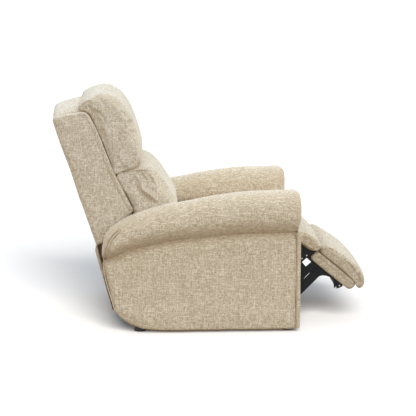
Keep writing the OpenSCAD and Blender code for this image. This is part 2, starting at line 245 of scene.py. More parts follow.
def resample(loop, count):
    p = np.array(list(loop) + [loop[0]], float)
    d = np.r_[0, np.cumsum(np.linalg.norm(np.diff(p, axis=0), axis=1))]
    q = np.linspace(0, d[-1], count, endpoint=False)
    return np.stack([np.interp(q, d, p[:, 0]), np.interp(q, d, p[:, 1])], axis=1)


def rings(name, rows):
    """A closed body over rows of points, all alike in count."""
    n, m = len(rows[0]), len(rows)
    verts = [v for row in rows for v in row]
    faces = [
        (k * n + i, k * n + (i + 1) % n, (k + 1) * n + (i + 1) % n, (k + 1) * n + i)
        for k in range(m - 1)
        for i in range(n)
    ]
    faces += [tuple(range(n))[::-1], tuple((m - 1) * n + i for i in range(n))]
    return fix_normals(mesh(name, verts, faces))


def bun(name, outline, x0, x1, edge, points=72, centre=None):
    """A body between x0 and x1 whose side outline shrinks over edge mm at both ends."""
    loop = resample(outline, points)
    mid = loop.mean(axis=0) if centre is None else np.array(centre, float)
    size = np.abs(loop - mid).max()
    rows = []
    stops = [edge * (1 - math.cos(math.radians(a))) for a in range(0, 91, 15)]
    shrink = [edge * (1 - math.sin(math.radians(a))) for a in range(0, 91, 15)]
    inner = np.linspace(x0 + edge, x1 - edge, 6)[1:-1]
    xs = [x0 + d for d in stops] + list(inner) + [x1 - d for d in reversed(stops)]
    ds = list(shrink) + [0] * len(inner) + list(reversed(shrink))
    for x, d in zip(xs, ds):
        k = 1 - 0.8 * d / size
        rows.append([P(x, *(mid + (p - mid) * k)) for p in loop])
    return rings(name, rows)


def pillow(name, mid, end, half, power=2.4, corner=10, points=96, held=None):
    """A body whose side outline is mid in the middle and end at both ends, with rounded end corners.

    held gives, for every outline point, how far the rounding takes it along (0 to 1).
    """
    a, b = resample(rounded(mid, corner), points), resample(rounded(end, corner), points)
    # both loops start at the same corner, so their points pair up
    centre = b.mean(axis=0)
    rows = []
    xs = np.sin(np.linspace(-math.pi / 2, math.pi / 2, 37)) * half
    size = np.linalg.norm(b - centre, axis=1)
    part = 1 if held is None else held(b)
    for x in xs:
        w = abs(x / half) ** power
        tip = min(1.0, max(0.0, (abs(x) - (half - corner)) / corner))
        k = 1 - 0.8 * corner * (1 - math.sqrt(1 - tip**2)) * part / size
        loop = a * (1 - w) + b * w
        rows.append([P(x, *(centre + (q - centre) * g)) for q, g in zip(loop, k)])
    return rings(name, rows)


def slab(name, outline, x0, x1):
    return rings(name, [side(x0, outline), side(x1, outline)])


# ---- shaping cloth -----------------------------------------------------------
WAVES = np.random.default_rng(7).normal(size=(48, 3))
PHASES = np.random.default_rng(8).uniform(0, 2 * math.pi, 48)


def ripple(co, size, seed=0, count=12):
    """Smooth noise from -1 to 1 with features of about size mm."""
    total = np.zeros(len(co))
    for k in range(count):
        i = (seed * 5 + k) % len(WAVES)
        direction = WAVES[i] / np.linalg.norm(WAVES[i])
        pitch = size / 1000 * (0.75 + 0.5 * ((k * 7 + seed) % 10) / 10)
        total += np.sin(co @ direction * 2 * math.pi / pitch + PHASES[i])
    return total / math.sqrt(count) / 1.5


def line_distance(co, pts, ignore):
    """Distance in mm of every point from a line of points, seen along ignore."""
    d = np.array(ignore, float)
    d /= np.linalg.norm(d)
    p = np.array([tuple(v) for v in pts])
    p = p - np.outer(p @ d, d)
    q = co - np.outer(co @ d, d)
    best = np.full(len(co), 1e9)
    along = np.zeros(len(co))
    for k in range(len(p) - 1):
        a, ab = p[k], p[k + 1] - p[k]
        t = np.clip((q - a) @ ab / max(ab @ ab, 1e-12), 0, 1)
        far = np.linalg.norm(q - a - t[:, None] * ab, axis=1)
        closer = far < best
        best[closer] = far[closer]
        along[closer] = ((k + t) / (len(p) - 1))[closer]
    return best * 1000, along


def fold(ob, pts, toward, depth, width, taper=0.0, side_by=0.15):
    """A fold line: the cloth facing against toward goes in by depth mm (out if negative).

    taper fades the fold at the line's two ends.
    """
    co, no = coords(ob), normals(ob)
    d, along = line_distance(co, smooth_line(pts, 6), toward)
    t = np.array(toward, float) / np.linalg.norm(toward)
    facing = np.clip((-(no @ t) - side_by) / 0.3, 0, 1)
    amount = np.exp(-((d / width) ** 2)) * depth / 1000 * facing
    if taper:
        amount *= np.clip(np.minimum(along, 1 - along) / taper, 0, 1) ** 0.7
    return put(ob, co - no * amount[:, None])


def pull(ob, pts, toward, depth, width, taper=0.35):
    """A pulled wrinkle: a groove with a soft ridge beside it."""
    fold(ob, pts, toward, depth, width, taper)
    t = np.array(toward, float) / np.linalg.norm(toward)
    p = smooth_line(pts, 10)
    run = p[-1] - p[0]
    off = np.cross(run / np.linalg.norm(run), t) * width * 1.7 / 1000
    fold(ob, [tuple(v + off) for v in p], toward, -0.55 * depth, width * 1.1, taper)
    return ob


def uneven(ob, amount, size, seed=0):
    """Slight unevenness of padding under cloth."""
    co, no = coords(ob), normals(ob)
    return put(ob, co + no * (ripple(co, size, seed) * amount / 1000)[:, None])


def inflate(ob, cap, pressure=4.0, slack=0.0, frames=20, held=None):
    """Swells the cloth with air, moving no point by more than cap mm."""
    scene = bpy.context.scene
    scene.frame_set(1)
    start = coords(ob)
    m = ob.modifiers.new("air", "CLOTH")
    s = m.settings
    s.quality = 4
    s.mass = 0.25
    s.tension_stiffness = s.compression_stiffness = s.shear_stiffness = 12
    s.bending_stiffness = 0.4
    s.shrink_min = -slack
    s.use_pressure = True
    s.uniform_pressure_force = pressure
    s.effector_weights.gravity = 0
    m.collision_settings.use_collision = False
    m.point_cache.frame_end = frames
    for k in range(1, frames + 1):
        scene.frame_set(k)
    bake(ob)
    scene.frame_set(1)
    move = coords(ob) - start
    far = np.linalg.norm(move, axis=1, keepdims=True)
    move *= np.minimum(1, cap / 1000 / np.maximum(far, 1e-9))
    if held is not None:
        move *= held(start)[:, None]
    return put(ob, start + move)


def keep_within(ob, axis, low=None, high=None, soft=4):
    """Presses the cloth flat against a plane (mm, row frame)."""
    co = coords(ob)
    v = co[:, axis] * 1000
    if high is not None:
        over = np.maximum(v - (high - soft), 0)
        v = np.where(over > 0, high - soft + soft * np.tanh(over / soft), v)
    if low is not None:
        under = np.maximum((low + soft) - v, 0)
        v = np.where(under > 0, low + soft - soft * np.tanh(under / soft), v)
    co[:, axis] = v / 1000
    return put(ob, co)


def tube(name, pts, r, around=8):
    """A round cord of cloth through pts."""
    p = [Vector(v) for v in pts]
    rows = []
    up = Vector((0.3, 0.5, 0.81))
    for i, at in enumerate(p):
        t = (p[min(i + 1, len(p) - 1)] - p[max(i - 1, 0)]).normalized()
        u = t.cross(up).normalized()
        w = t.cross(u).normalized()
        up = -u.cross(t) if abs(t.dot(up)) > 0.95 else up
        end = 0.55 if i in (0, len(p) - 1) else 1
        rows.append(
            [
                at
                + (u * math.cos(2 * math.pi * k / around) + w * math.sin(2 * math.pi * k / around))
                * (r * end / 1000)
                for k in range(around)
            ]
        )
    return rings(name, rows)


def on_surface(ob, pts, toward, step=4.0, from_far=0.2):
    """The line of points where pts meet the piece, looking along toward."""
    tree = BVHTree.FromPolygons(
        [v.co for v in ob.data.vertices], [p.vertices for p in ob.data.polygons]
    )
    t = Vector(toward).normalized()
    out = []
    for p in smooth_line(pts, step):
        hit = tree.ray_cast(Vector(p) - t * from_far, t)[0]
        if hit is not None:
            out.append(np.array(hit))
    if len(out) > 6:
        a = np.array(out)
        for _ in range(3):
            a[1:-1] = 0.25 * a[:-2] + 0.5 * a[1:-1] + 0.25 * a[2:]
        out = list(a)
    return out


def welt(ob, pts, toward, r=2.2, depth=1.6, width=4.5, sunk=0.35):
    """A sewn seam: a groove with a slim rounded cord of the same cloth in it."""
    line = on_surface(ob, pts, toward)
    fold(ob, pts, toward, depth, width)
    if len(line) > 3:
        t = np.array(toward, float) / np.linalg.norm(toward)
        join(ob, [tube("welt", [p + t * (sunk * r / 1000) for p in line], r)])
    return ob


def seam(ob, pts, toward, depth=2.4, width=3.2, pucker=0.8, pitch=26, seed=0):
    """A plain sewn seam: a narrow groove, with the cloth puckered along it."""
    co, no = coords(ob), normals(ob)
    line = smooth_line(pts, 6)
    d, along = line_distance(co, line, toward)
    t = np.array(toward, float) / np.linalg.norm(toward)
    facing = np.clip((-(no @ t) - 0.1) / 0.3, 0, 1)
    length = np.linalg.norm(np.diff(np.array(line), axis=0), axis=1).sum() * 1000
    wave = np.sin(along * length * 2 * math.pi / pitch + 2.1 * np.sin(along * 9 + seed))
    amount = depth * np.exp(-((d / width) ** 2))
    amount = amount + pucker * wave * np.exp(-((d / (4.5 * width)) ** 2)) * (d > 0.1)
    return put(ob, co - no * (amount / 1000 * facing)[:, None])


# ---- materials ---------------------------------------------------------------
def linear(*rgb):
    return tuple(
        (c / 255 / 12.92) if c / 255 <= 0.04045 else ((c / 255 + 0.055) / 1.055) ** 2.4 for c in rgb
    ) + (1.0,)


class Graph:
    """Builds one material's nodes."""

    def __init__(self, name):
        self.material = bpy.data.materials.new(name)
        self.material.use_nodes = True
        self.tree = self.material.node_tree
        self.tree.nodes.clear()
        self.shader = self.node("ShaderNodeBsdfPrincipled")
        out = self.node("ShaderNodeOutputMaterial")
        self.tree.links.new(self.shader.outputs[0], out.inputs[0])
        self.where = self.node("ShaderNodeTexCoord")

    def node(self, kind, inputs=None, **settings):
        n = self.tree.nodes.new(kind)
        for k, v in settings.items():
            setattr(n, k, v)
        for k, v in (inputs or {}).items():
            self.set(n.inputs[k], v)
        return n

    def set(self, socket, v):
        if isinstance(v, bpy.types.NodeSocket):
            self.tree.links.new(v, socket)
        else:
            socket.default_value = v

    def maths(self, op, a, b=0.0, clamp=False):
        n = self.node("ShaderNodeMath", {0: a, 1: b}, operation=op, use_clamp=clamp)
        return n.outputs[0]

    def mapped(self, scale, turn=(0, 0, 0), source=None):
        n = self.node("ShaderNodeMapping", {"Rotation": turn, "Scale": scale})
        self.set(n.inputs["Vector"], source or self.where.outputs["Object"])
        return n.outputs[0]

    def noise(self, scale, detail=2.0, rough=0.5, turn=(0, 0, 0), source=None, warp=0.0):
        n = self.node(
            "ShaderNodeTexNoise",
            {"Scale": 1.0, "Detail": detail, "Roughness": rough, "Distortion": warp},
        )
        if isinstance(scale, (int, float)):
            scale = (scale,) * 3
        self.set(n.inputs["Vector"], self.mapped(scale, turn, source))
        return n.outputs["Fac"]

    def between(self, v, low, high, to_low=0.0, to_high=1.0):
        n = self.node(
            "ShaderNodeMapRange", {0: v, 1: low, 2: high, 3: to_low, 4: to_high}, clamp=True
        )
        return n.outputs[0]

    def mix(self, factor, a, b):
        n = self.node("ShaderNodeMix", data_type="RGBA")
        self.set(n.inputs[0], factor)
        self.set(n.inputs[6], a)
        self.set(n.inputs[7], b)
        return n.outputs[2]

    def bump(self, height, distance, strength=1.0):
        n = self.node("ShaderNodeBump", {"Strength": strength, "Distance": distance, "Height": height})
        self.set(self.shader.inputs["Normal"], n.outputs[0])

    def look(self, **values):
        for k, v in values.items():
            self.set(self.shader.inputs[k.replace("_", " ")], v)
        return self.material


def linen(name, tone, tilt=0.0):
    """Heathered linen weave: slubs along the threads of both directions."""
    g = Graph(name)
    turn = (tilt, 0, 0)

    facing = g.node("ShaderNodeSeparateXYZ", {0: g.mapped((1, 1, 1), turn, g.where.outputs["Normal"])})
    square = [g.maths("ABSOLUTE", facing.outputs[k]) for k in range(3)]
    along = [g.maths("SUBTRACT", 1.0, a) for a in square]

    def add(values):
        return g.maths("ADD", g.maths("ADD", values[0], values[1]), values[2])

    def threads(thick, length, detail, low, high):
        """Noise drawn out along each axis in turn, where the cloth runs that way."""
        out = []
        for axis in range(3):
            size = [1 / length if k == axis else 1 / thick for k in range(3)]
            n = g.between(g.noise(size, detail, 0.55, turn), low, high)
            out.append(g.maths("MULTIPLY", n, along[axis]))
        return add(out)

    slub = g.between(threads(0.0027, 0.015, 2, 0.34, 0.66), 0.5, 1.5)
    fine = g.between(threads(0.0017, 0.009, 1, 0.34, 0.66), 0.5, 1.5)
    thick = threads(0.0034, 0.050, 1, 0.58, 0.66)
    thin = threads(0.0034, 0.040, 1, 0.42, 0.34)
    blotch = g.noise(1 / 0.05, 3, 0.55, turn)
    grain = g.noise(1 / 0.0038, 1, 0.5, turn)

    def shift(*d):
        return linear(*(max(0, min(255, c + k)) for c, k in zip(tone, d)))

    colour = g.mix(slub, shift(-40, -46, -54), shift(25, 26, 29))
    colour = g.mix(g.maths("MULTIPLY", fine, 0.4), colour, shift(18, 19, 21))
    colour = g.mix(g.maths("MULTIPLY", g.between(grain, 0.58, 0.72), 0.4), colour, shift(-58, -64, -72))
    colour = g.mix(g.maths("MULTIPLY", thick, 0.5), colour, shift(38, 38, 40))
    colour = g.mix(g.maths("MULTIPLY", thin, 0.4), colour, shift(-40, -46, -54))
    colour = g.mix(g.maths("MULTIPLY", g.between(blotch, 0.35, 0.65), 0.12), colour, shift(-16, -20, -26))
    # the plain weave itself, one thread a 1.3 mm step, on whichever side the cloth faces
    pitch = 2 * math.pi / 0.0026
    wobble = g.noise(1 / 0.02, 1, 0.5, turn)
    src = g.node("ShaderNodeVectorMath", {0: g.mapped((pitch,) * 3, turn), 1: wobble}, operation="ADD")
    split = g.node("ShaderNodeSeparateXYZ", {0: src.outputs[0]})
    wave = [g.maths("SINE", split.outputs[k]) for k in range(3)]
    sides = []
    for k in range(3):
        weight = g.maths("POWER", square[k], 3.0)
        sides.append(g.maths("MULTIPLY", g.maths("MULTIPLY", wave[k - 1], wave[k - 2]), weight))
    height = g.maths("ADD", g.maths("MULTIPLY", add(sides), 0.2), g.maths("MULTIPLY", slub, 0.7))
    height = g.maths("ADD", height, g.maths("MULTIPLY", fine, 0.5))
    height = g.maths("ADD", height, g.maths("MULTIPLY", thick, 0.4))
    g.bump(height, 0.0009, 0.7)
    rough = g.between(slub, 0, 1, 0.97, 0.84)
    return g.look(
        Base_Color=colour, Roughness=rough, Specular_IOR_Level=0.2, Sheen_Weight=0.25, Sheen_Roughness=0.45
    )


def black_steel(name):
    g = Graph(name)
    peel = g.noise(1 / 0.0012, 2)
    worn = g.between(g.noise(1 / 0.03, 5, 0.7), 0.6, 0.8)
    colour = g.mix(worn, linear(10, 10, 10), linear(27, 26, 25))
    g.bump(peel, 0.0002, 0.5)
    rough = g.between(worn, 0, 1, 0.36, 0.55)
    return g.look(Base_Color=colour, Metallic=0.2, Roughness=rough, Specular_IOR_Level=0.3)


def zinc_steel(name):
    g = Graph(name)
    brushed = g.noise((1 / 0.0004, 1 / 0.02, 1 / 0.0004), 3)
    spangle = g.noise(1 / 0.006, 1)
    colour = g.mix(spangle, linear(178, 178, 174), linear(212, 211, 205))
    g.bump(brushed, 0.00008, 0.4)
    return g.look(Base_Color=colour, Metallic=1.0, Roughness=g.between(brushed, 0.3, 0.7, 0.26, 0.44))


def timber(name):
    g = Graph(name)
    ring = g.node(
        "ShaderNodeTexWave",
        {
            "Vector": g.mapped((9, 1.2, 30)),
            "Scale": 1.6,
            "Distortion": 5.0,
            "Detail": 3.0,
            "Detail Scale": 2.0,
        },
    )
    fibre = g.noise((1 / 0.0008, 1 / 0.03, 1 / 0.0008), 3)
    colour = g.mix(ring.outputs["Fac"], linear(172, 132, 86), linear(212, 176, 128))
    colour = g.mix(g.maths("MULTIPLY", fibre, 0.4), colour, linear(140, 102, 62))
    g.bump(fibre, 0.0002, 0.5)
    return g.look(Base_Color=colour, Roughness=0.62)


def black_plastic(name):
    g = Graph(name)
    grain = g.noise(1 / 0.0009, 2)
    colour = g.mix(grain, linear(24, 24, 25), linear(38, 38, 38))
    g.bump(grain, 0.00012, 0.6)
    return g.look(Base_Color=colour, Roughness=0.5)


def felt(name):
    g = Graph(name)
    fibre = g.noise(1 / 0.002, 4, 0.7)
    stripe = g.noise((1 / 0.004, 1 / 0.06, 1 / 0.004), 2)
    colour = g.mix(fibre, linear(86, 85, 82), linear(132, 130, 125))
    colour = g.mix(g.maths("MULTIPLY", stripe, 0.3), colour, linear(70, 69, 66))
    g.bump(fibre, 0.0005, 0.8)
    return g.look(Base_Color=colour, Roughness=0.95, Sheen_Weight=0.2)


LINEN_TONE = (219, 201, 173)
CUSHION_TONE = (217, 203, 180)
CLOTH = linen("linen_arm", LINEN_TONE)
# The back's linen is lighter and cooler than the arms' linen of the same cloth: painted light, for the light
# that its wings catch.
CLOTH_BACK_LIT = linen("linen_back_lit", (219, 204, 180), BACK_LEAN)
CUSHION = linen("linen_cushion", CUSHION_TONE)
CUSHION_BACK = linen("linen_cushion_back", CUSHION_TONE, BACK_LEAN)
# The legrest's linen is darker and browner than the other cushions' of the same cloth: painted shade, for the
# shade on its pads' near sides.
CUSHION_LEG_SHADED = linen("linen_cushion_leg_shaded", (207, 191, 165), math.radians(-40))
MADE = {
    "fabric": CLOTH,
    "cushion_fabric": CUSHION,
    "black_steel": black_steel("steel_black"),
    "zinc_steel": zinc_steel("steel_zinc"),
    "timber": timber("wood"),
    "black_plastic": black_plastic("plastic_black"),
    "felt": felt("felt_grey"),
}
for row in frame["record"]["subparts"]:
    node = frame["nodes"][row["node"]]
    node.data.materials.clear()
    node.data.materials.append(MADE[row["material_slot"]])


def finish_piece(ob, body, material, slot, *nodes, padded=None):
    """Gives a piece its cloth, its body and the CAD nodes that it stands for."""
    ob.data.materials.clear()
    ob.data.materials.append(material)
    smooth_shade(ob)
    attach(ob, body)
    if nodes:
        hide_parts(*nodes)
    return ob


def finish_both(right, body, material, *nodes, padded):
    """Finishes a cover of the right side, and its mirror image on the left."""
    for ob, way in ((right, "right"), (mirrored(right, right.name.replace("right", "left")), "left")):
        stands_for = [node.replace("right", way) for node in nodes]
        finish_piece(ob, body, material, "fabric", *stands_for, padded=padded)


# ---- arms --------------------------------------------------------------------
NEAR = (1, 0, 0)  # looking at the -X side
ROLL_TOP = [
    (-413, 387), (-405, 415), (-385, 444), (-345, 476), (-270, 516), (-170, 546), (-55, 569), (60, 590),
    (230, 609), (395, 613),
]
ROLL_LOW = [
    (-413, 318), (-405, 321), (-385, 328), (-345, 342), (-270, 365), (-170, 389), (-55, 404), (60, 415),
    (230, 426), (395, 427),
]
ROLL_FRONT = 433
ROLL_ROUND = 34
ROLL_POINTS = 88


def roll_section(f, inset):
    """One cross-section of an arm pad on the -X side."""
    top = float(spline(*zip(*ROLL_TOP), f))
    low = float(spline(*zip(*ROLL_LOW), f))
    low += 20 * max(0, (f - 400) / 34) ** 2  # the front lower edge is drawn in
    mid, half = (top + low) / 2, (top - low) / 2
    row = []
    for i in range(ROLL_POINTS):
        a = 2 * math.pi * i / ROLL_POINTS
        c, s = math.cos(a), math.sin(a)
        u = math.copysign(abs(c) ** (2 / 2.25), c)
        v = math.copysign(abs(s) ** (2 / (2.25 if s > 0 else 2.05)), s)
        w = ROLL_HALF - inset
        h = max(half - inset, 2)
        row.append((-(ROLL_X - w * u), mid + h * v))
    return row


def arm_roll():
    rows = []
    rear = np.array([-413, -410, -404, -396])
    rear_inset = [26, 11, 4, 0]
    for f, d in zip(rear, rear_inset):
        rows.append((f, d))
    for f in np.arange(-386, ROLL_FRONT - ROLL_ROUND, 10):
        rows.append((f, 0))
    for a in range(0, 91, 12):
        r = math.radians(a)
        rows.append((ROLL_FRONT - ROLL_ROUND * (1 - math.sin(r)), ROLL_ROUND * (1 - math.cos(r))))
    for d in (38, 48, 60, 72):
        rows.append((ROLL_FRONT + 0.6, d))
    ob = rings("arm_roll_right_cover", [[P(x, f, z) for x, z in roll_section(f, d)] for f, d in rows])
    subdivide(ob, 1)
    uneven(ob, 1.6, 190, 1)
    uneven(ob, 0.7, 70, 2)
    # the sewn edge of the front cap, and the double welt round the rear end
    cap = []
    for a in range(-100, 281, 10):
        c, s = math.cos(math.radians(a)), math.sin(math.radians(a))
        cap.append(P(-ROLL_X - (ROLL_HALF - 26) * c, ROLL_FRONT, 521 + 61 * s))
    fold(ob, cap, (0, 1, 0), 1.6, 4)
    rear_edge = [(-352, 458), (-376, 437), (-393, 411), (-403, 384), (-407, 358), (-408, 330)]
    for inward, r in ((4, 3.2), (15, 2.6)):
        drop = [P(-ROLL_X - 60, f + inward, z - 0.3 * inward) for f, z in rear_edge]
        welt(ob, drop, NEAR, r, 4.5, 5.5, sunk=0.4)
    # pulls at the front lower corner and soft creases where the pad bends down
    pull(ob, [P(-430, 386, 474), P(-420, 412, 454), P(-400, 430, 434)], NEAR, 4.0, 6)
    pull(ob, [P(-430, 352, 452), P(-420, 388, 440), P(-410, 418, 436)], NEAR, 2.8, 5)
    pull(ob, [P(-420, -330, 440), P(-425, -300, 420), P(-420, -262, 404)], NEAR, 1.4, 9)
    pull(ob, [P(-400, -190, 525), P(-425, -172, 490), P(-425, -160, 455)], NEAR, 1.0, 10)
    return ob


roll_right = arm_roll()
roll_left = mirrored(roll_right, "arm_roll_left_cover")


def cut_pocket(ob, node, grow):
    """Opens the pad for the switch plate."""
    low, high = (np.array(v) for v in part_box(node))
    low, high = low - grow, high + grow
    bm = bmesh.new()
    made = bmesh.ops.create_cube(bm, size=1.0)
    for v in made["verts"]:
        v.co = Vector(np.where(np.array(v.co) > 0, high + [0.02, 0, 0], low))
    me = bpy.data.meshes.new("cutter")
    bm.to_mesh(me)
    bm.free()
    cutter = add_object("cutter", me)
    m = ob.modifiers.new("pocket", "BOOLEAN")
    m.operation = "DIFFERENCE"
    m.solver = "EXACT"
    m.object = cutter
    bake(ob)
    bpy.data.objects.remove(cutter)
    bpy.data.meshes.remove(me)


cut_pocket(roll_right, "switch_bezel", 0.0004)
finish_piece(roll_right, "base", CLOTH, "fabric", "arm_roll_right", padded=0.8)
finish_piece(roll_left, "base", CLOTH, "fabric", "arm_roll_left", padded=0.8)

ARM_OUTLINE = [
    (404, 15.5), (415, 19), (415, 440), (230, 437), (60, 427), (-114, 409), (-226, 390), (-345, 356),
    (-406, 326), (-406, 300), (-359, 102), (-337, 74), (-294, 47), (-240, 25), (-172, 15.5),
]


def side_panel():
    ob = slab("side_panel_right_cover", ARM_OUTLINE, -SIDE_X + 1, -SIDE_X + 14)
    remesh(ob, 4)
    relax(ob, 5)
    co = coords(ob)
    # the padding crowns the outer face and thins out towards its edges
    f, z = (Y_MID - co[:, 1]) * 1000, co[:, 2] * 1000
    rear = np.interp(z, [15, 101, 300, 326], [-172, -359, -406, -400])
    room = np.minimum(np.minimum(413 - f, f - rear), z - 15)
    swell = 3.2 * (1 - np.exp(-np.maximum(room, 0) / 26))
    tuck = np.clip((z - np.interp(f, *zip(*ROLL_LOW)) + 34) / 36, 0, 1) ** 2 * 14
    outer = co[:, 0] < -(SIDE_X - 6) / 1000
    co[outer, 0] -= (swell - tuck)[outer] / 1000
    put(ob, co)
    uneven(ob, 1.2, 160, 3)
    uneven(ob, 0.5, 55, 4)
    rear_seam = [(-396, 300), (-376, 205), (-354, 104), (-330, 82), (-287, 58), (-235, 38), (-180, 27)]
    welt(ob, side(-SIDE_X, rear_seam), NEAR, 1.8, 1.4, 4)
    edge = side(-SIDE_X + 0.5, [(-408, 316), (-407, 300), (-361, 104)])
    join(ob, [tube("edge", smooth_line(edge, 8), 2.6)])
    creases = ((-330, 70, -270, 150), (-250, 40, -215, 110), (330, 24, 380, 90), (200, 22, 215, 70))
    for f0, z0, f1, z1 in creases:
        pull(ob, side(-SIDE_X, [(f0, z0), ((f0 + f1) / 2 + 6, (z0 + z1) / 2), (f1, z1)]), NEAR, 0.9, 9)
    return ob


finish_both(side_panel(), "base", CLOTH, "side_panel_right", padded=0.9)


def arm_front():
    outline = [(416.5, 15.5), (420, 15.5), (427, 19), (431, 26), (432, 36), (432, 446), (416.5, 446)]
    ob = slab("arm_front_right_cover", outline, -SIDE_X - 2.5, -(INNER_X + 3))
    remesh(ob, 3)
    relax(ob, 5)
    co = coords(ob)
    x, z = -co[:, 0] * 1000, co[:, 2] * 1000
    room = np.minimum(np.minimum(SIDE_X - x, x - INNER_X), z - 15)
    front = co[:, 1] < Y_MID - 0.424
    co[front, 1] -= (2.5 * (1 - np.exp(-np.maximum(room, 0) / 18)) / 1000)[front]
    put(ob, co)
    uneven(ob, 0.6, 90, 5)
    # the welt where the front cover meets the side cover
    line = [P(-SIDE_X + 1.5, 415.5, z) for z in np.linspace(24, 436, 90)]
    join(ob, [tube("welt", line, 1.6)])
    for z0 in (420, 400):
        pull(ob, [P(-390, 432, z0), P(-360, 432, z0 - 22), P(-322, 432, z0 - 30)], (0, 1, 0), 1.2, 7)
    return ob


finish_both(arm_front(), "base", CLOTH, "arm_front_right", padded=0.9)


ARM_UNDER = [
    (-408, 324), (-407, 300), (-361, 101), (-338, 71), (-293, 40), (-241, 21), (-172, 14), (404, 14),
]


def arm_rear_and_inside():
    inner = [(404, 22), (-170, 22), (-236, 30), (-287, 50), (-330, 80), (-350, 104), (-395, 302), (-396, 329)]
    rear = slab("arm_rear_right_cover", ARM_UNDER + inner, -(SIDE_X - 10), -(INNER_X + 12))
    remesh(rear, 3)
    relax(rear, 3)
    outline = [(f + 1 if f > 400 else f + 2, z) for f, z in ARM_OUTLINE]
    inside = slab("arm_inside_right_cover", outline, -(INNER_X + 15), -(INNER_X + 3))
    remesh(inside, 6)
    relax(inside, 4)
    uneven(inside, 0.5, 90, 6)
    return join(rear, [inside])


finish_both(arm_rear_and_inside(), "base", CLOTH, "arm_rear_panels", "arm_inner_panels", padded=0.9)

# ---- the back shell ----------------------------------------------------------
WING = [
    (0, -6), (578, -6), (584, 2), (577, 70), (568, 128), (556, 143), (537, 150), (467, 160), (290, 167),
    (95, 197), (84, 186), (20, 44), (0, 30),
]
WING_ROUND = [6, 14, 14, 30, 18, 14, 20, 60, 60, 10, 6, 6, 6]
# distances from the chair's middle: the wing's inner face, and its outer face low down and at the top
WING_IN, WING_LOW, WING_TOP = 243, 261, 284


def wing_x(s):
    return WING_LOW + (WING_TOP - WING_LOW) * max(0, (s - 90) / 493) ** 0.8


def wing():
    loop = resample(rounded(WING, WING_ROUND), 150)
    inner = [P(-WING_IN, *back(s, t)) for s, t in loop]
    outer = [P(-wing_x(s) + 1.5, *back(s, t)) for s, t in loop]
    ob = rings("back_wing_right_cover", [inner, outer])
    remesh(ob, 4.2)
    relax(ob, 9)
    co = coords(ob)
    s, t = on_back((Y_MID - co[:, 1]) * 1000, co[:, 2] * 1000)
    room = np.minimum(np.minimum(t, 575 - s), 155 - t)
    outer = normals(ob)[:, 0] < -0.5
    co[outer, 0] -= (3.0 * (1 - np.exp(-np.maximum(room, 0) / 20)) / 1000)[outer]
    put(ob, co)
    uneven(ob, 1.3, 130, 7)
    uneven(ob, 0.5, 45, 8)
    border = [(562, 108), (553, 128), (535, 137), (467, 146), (290, 152), (150, 172), (98, 182)]
    welt(ob, side(-WING_TOP, back_points(border)), NEAR, 1.8, 3.0, 5.0, sunk=0.8)
    rear_edge = [(20, 4), (200, 4), (400, 4), (566, 4), (573, 16), (570, 60)]
    seam(ob, side(-WING_TOP, back_points(rear_edge)), NEAR, 1.0, 3.5, 0.3)
    return ob


finish_both(wing(), "backrest", CLOTH_BACK_LIT, "back_wing_right", padded=0.9)


def back_cover():
    """The rear face and the crowned top between the wings, sewn as one cover."""
    outline = [(-4, -4), (579, -4), (583, 40), (575, 134), (560, 134), (566, 14), (-4, 11)]
    loop = rounded(back_points(outline), [2, 22, 30, 8, 8, 8, 2], 5)
    ob = slab("back_outer_cover", loop, -253, 253)
    remesh(ob, 5)
    relax(ob, 4)
    co = coords(ob)
    s, _ = on_back((Y_MID - co[:, 1]) * 1000, co[:, 2] * 1000)
    u, w = math.sin(BACK_LEAN), math.cos(BACK_LEAN)
    across = np.cos(np.clip(co[:, 0] * 1000 / 250, -1, 1) * math.pi / 2) ** 0.7
    lift = np.clip((s - 530) / 40, 0, 1) * 30 * across
    bulge = np.clip((560 - s) / 60, 0, 1) * np.clip((s + 4) / 90, 0, 1) * 5 * across
    co[:, 1] += (lift * u + bulge * w) / 1000
    co[:, 2] += (lift * w - bulge * u) / 1000
    put(ob, co)
    uneven(ob, 1.2, 150, 9)
    return ob


finish_piece(back_cover(), "backrest", CLOTH_BACK_LIT, "fabric", "back_outer_panel", "back_top_panel", padded=0.7)

# ---- back cushions -----------------------------------------------------------
FACE = (0, 1, 0)  # looking at the chair from the front
# (s, t) outlines of the head pillow: in the middle, at its sides, and between the wings
HEAD_MID = [
    (262, 158), (258, 260), (270, 287), (304, 302), (362, 310), (437, 311), (512, 305), (576, 281),
    (612, 238), (619, 190), (608, 132), (588, 98), (568, 127), (547, 147), (467, 154), (300, 160),
]
HEAD_END = [
    (264, 158), (258, 256), (268, 284), (305, 299), (362, 307), (437, 309), (511, 302), (574, 276),
    (611, 234), (618, 186), (606, 134), (588, 98), (568, 127), (547, 147), (467, 154), (300, 160),
]
HEAD_CORE = [
    (280, 170), (280, 260), (440, 280), (560, 240), (590, 180), (588, 112), (566, 136), (540, 150),
    (300, 158),
]


HEAD_HALF = 265
LUMBAR_HALF = 263
CORE_HALF = 242  # the part between the wings


def clear_of_shell(loop):
    """0 for the outline points that touch the shell, most for those on top in front of it."""
    s, t = on_back(loop[:, 0], loop[:, 1])
    return np.clip((t - 148) / 60, 0, 1) * (0.42 + 0.4 * np.clip((s - 500) / 90, 0, 1))


def head_pillow():
    mid, end, core = (back_points(pts) for pts in (HEAD_MID, HEAD_END, HEAD_CORE))
    ob = pillow("head_pillow_cover", mid, end, HEAD_HALF, 2.8, 58, held=clear_of_shell)
    join(ob, [pillow("core", core, core, CORE_HALF, 2, 8)])
    remesh(ob, 5.5)
    relax(ob, 5)
    inflate(ob, 9, 4.0, slack=0.02)
    subdivide(ob)
    keep_within(ob, 0, -268, 268, 6)
    uneven(ob, 1.2, 120, 10)
    return ob


